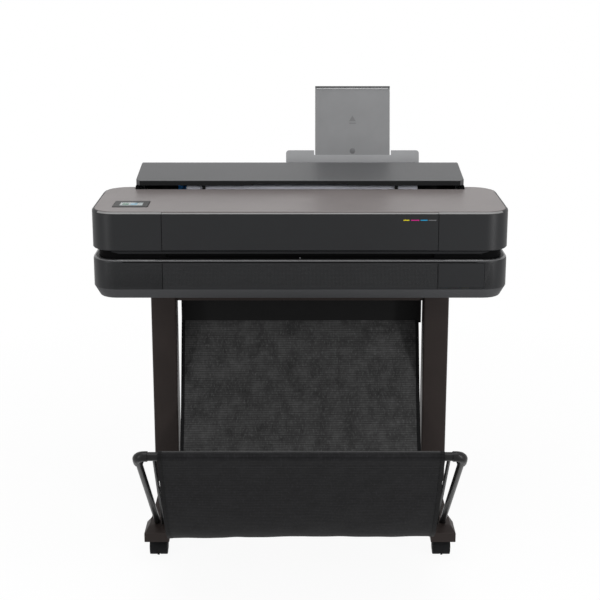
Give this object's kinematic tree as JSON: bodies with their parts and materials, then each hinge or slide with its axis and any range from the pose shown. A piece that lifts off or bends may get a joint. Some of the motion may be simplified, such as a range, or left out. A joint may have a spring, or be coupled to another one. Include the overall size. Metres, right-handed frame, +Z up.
{
  "type": "large format plotter",
  "caption": "Wide roll-fed plotter on a castered stand, with lifting front door and roll cover, sheet feeder with sliding extender, belt-driven carriage and fabric sling bin.",
  "frame": {"origin": "on the floor under the middle of the whole object", "axes": "+Z up, +X to the right of a person facing the front, +Y to the back"},
  "size_m": [1.006, 0.9106, 1.1006],
  "materials": {
    "charcoal_plastic": "fine matt texture",
    "black_plastic": "matt",
    "taupe_plastic": "satin",
    "grey_plastic": "satin",
    "pale_plastic": "satin",
    "screen_glass": "gloss",
    "steel": "brushed",
    "brown_metal": "powder coat",
    "rubber": "matt",
    "blue_plastic": "satin",
    "paper": "uncoated",
    "green_board": "solder mask",
    "cyan_ink": "satin",
    "magenta_ink": "satin",
    "yellow_ink": "satin",
    "black_ink": "satin",
    "bin_fabric": "woven",
    "tube_paint": "satin paint"
  },
  "bodies": {
    "plotter": {"base_plate": "steel", "bin_bar": "tube_paint", "bin_cloth": "bin_fabric", "bin_left_arm": "tube_paint", "bin_left_stay": "tube_paint", "bin_right_arm": "tube_paint", "bin_right_stay": "tube_paint", "bin_strip": "black_plastic", "black_ink_cartridge_4": "black_ink", "carriage_belt": "rubber", "carriage_motor": "steel", "carriage_rail": "steel", "control_board": "green_board", "cross_brace": "brown_metal", "cyan_ink_cartridge_1": "cyan_ink", "feed_belt": "rubber", "feed_motor": "steel", "feeder_base": "charcoal_plastic", "ink_bay": "black_plastic", "left_foot": "brown_metal", "left_leg": "brown_metal", "left_side_plate": "steel", "lower_casing": "charcoal_plastic", "magenta_ink_cartridge_2": "magenta_ink", "platen": "black_plastic", "power_inlet": "black_plastic", "right_foot": "brown_metal", "right_leg": "brown_metal", "right_side_plate": "steel", "roll_bay": "charcoal_plastic", "service_station": "grey_plastic", "sheet_tray": "pale_plastic", "slot_spacer": "black_plastic", "top_deck": "taupe_plastic", "touch_panel": "screen_glass", "upper_casing": "charcoal_plastic", "yellow_ink_cartridge_3": "yellow_ink"},
    "front_door": {"front_door": "charcoal_plastic"},
    "ink_door": {"ink_door": "charcoal_plastic"},
    "roll_cover": {"roll_cover": "grey_plastic"},
    "tray_extender": {"tray_extender": "grey_plastic"},
    "carriage": {"carriage": "black_plastic"},
    "drive_pulley": {"drive_pulley": "steel"},
    "idler_pulley": {"idler_pulley": "steel"},
    "feed_roller": {"feed_roller": "rubber", "feed_pulley": "black_plastic"},
    "motor_pulley": {"motor_pulley": "steel"},
    "pinch_roller": {"pinch_roller": "rubber"},
    "media_roll": {"spindle": "black_plastic", "left_hub": "blue_plastic", "paper_roll": "paper"},
    "front_left_fork": {"front_left_fork": "black_plastic"},
    "front_left_wheels": {"front_left_wheels": "rubber"},
    "front_right_fork": {"front_right_fork": "black_plastic"},
    "front_right_wheels": {"front_right_wheels": "rubber"},
    "rear_left_fork": {"rear_left_fork": "black_plastic"},
    "rear_left_wheels": {"rear_left_wheels": "rubber"},
    "rear_right_fork": {"rear_right_fork": "black_plastic"},
    "rear_right_wheels": {"rear_right_wheels": "rubber"}
  },
  "joints": [
    {"name": "front_door_hinge", "type": "hinge", "parent": "plotter", "child": "front_door", "pos_m": [0, -0.0652, 0.8605], "axis": [-1, 0, 0], "range_deg": [0, 100]},
    {"name": "ink_door_hinge", "type": "hinge", "parent": "plotter", "child": "ink_door", "pos_m": [0.3874, -0.0652, 0.68], "axis": [1, 0, 0], "range_deg": [0, 90]},
    {"name": "roll_cover_hinge", "type": "hinge", "parent": "plotter", "child": "roll_cover", "pos_m": [0, 0.3573, 0.892], "axis": [-1, 0, 0], "range_deg": [0, 75]},
    {"name": "tray_extender_slide", "type": "slide", "parent": "plotter", "child": "tray_extender", "axis": [0, 0.2079, 0.9781], "range_m": [-0.11, 0]},
    {"name": "carriage_slide", "type": "slide", "parent": "plotter", "child": "carriage", "axis": [1, 0, 0], "range_m": [-0.695, 0]},
    {"name": "drive_pulley_spin", "type": "hinge", "parent": "plotter", "child": "drive_pulley", "pos_m": [-0.3235, 0.0838, 0.828], "axis": [0, 1, 0], "range_deg": [-4440, 5]},
    {"name": "idler_pulley_spin", "type": "hinge", "parent": "plotter", "child": "idler_pulley", "pos_m": [0.4532, 0.0838, 0.828], "axis": [0, 1, 0], "range_deg": [-4440, 5]},
    {"name": "feed_roller_spin", "type": "hinge", "parent": "plotter", "child": "feed_roller", "pos_m": [0, 0.0933, 0.7455], "axis": [1, 0, 0], "continuous": true},
    {"name": "motor_pulley_spin", "type": "hinge", "parent": "plotter", "child": "motor_pulley", "pos_m": [-0.3548, 0.0933, 0.6975], "axis": [1, 0, 0], "continuous": true},
    {"name": "pinch_roller_spin", "type": "hinge", "parent": "plotter", "child": "pinch_roller", "pos_m": [0, 0.0933, 0.7639], "axis": [1, 0, 0], "continuous": true},
    {"name": "media_roll_spin", "type": "hinge", "parent": "plotter", "child": "media_roll", "pos_m": [0, 0.2993, 0.82], "axis": [1, 0, 0], "continuous": true},
    {"name": "front_left_swivel", "type": "hinge", "parent": "plotter", "child": "front_left_fork", "pos_m": [-0.3513, -0.1117, 0.0535], "axis": [0, 0, 1], "continuous": true},
    {"name": "front_left_wheel_spin", "type": "hinge", "parent": "front_left_fork", "child": "front_left_wheels", "pos_m": [-0.3513, -0.1017, 0.02181], "axis": [1, 0, 0], "continuous": true},
    {"name": "front_right_swivel", "type": "hinge", "parent": "plotter", "child": "front_right_fork", "pos_m": [0.3513, -0.1117, 0.0535], "axis": [0, 0, 1], "continuous": true},
    {"name": "front_right_wheel_spin", "type": "hinge", "parent": "front_right_fork", "child": "front_right_wheels", "pos_m": [0.3513, -0.1017, 0.02181], "axis": [1, 0, 0], "continuous": true},
    {"name": "rear_left_swivel", "type": "hinge", "parent": "plotter", "child": "rear_left_fork", "pos_m": [-0.3513, 0.4183, 0.0535], "axis": [0, 0, 1], "continuous": true},
    {"name": "rear_left_wheel_spin", "type": "hinge", "parent": "rear_left_fork", "child": "rear_left_wheels", "pos_m": [-0.3513, 0.4283, 0.02181], "axis": [1, 0, 0], "continuous": true},
    {"name": "rear_right_swivel", "type": "hinge", "parent": "plotter", "child": "rear_right_fork", "pos_m": [0.3513, 0.4183, 0.0535], "axis": [0, 0, 1], "continuous": true},
    {"name": "rear_right_wheel_spin", "type": "hinge", "parent": "rear_right_fork", "child": "rear_right_wheels", "pos_m": [0.3513, 0.4283, 0.02181], "axis": [1, 0, 0], "continuous": true}
  ],
  "couplings": [
    {"joint": "drive_pulley_spin", "follows": "carriage_slide", "rad_per_m": 110.5},
    {"joint": "idler_pulley_spin", "follows": "carriage_slide", "rad_per_m": 110.5},
    {"joint": "motor_pulley_spin", "follows": "feed_roller_spin", "ratio": 2.989},
    {"joint": "pinch_roller_spin", "follows": "feed_roller_spin", "ratio": -2}
  ]
}
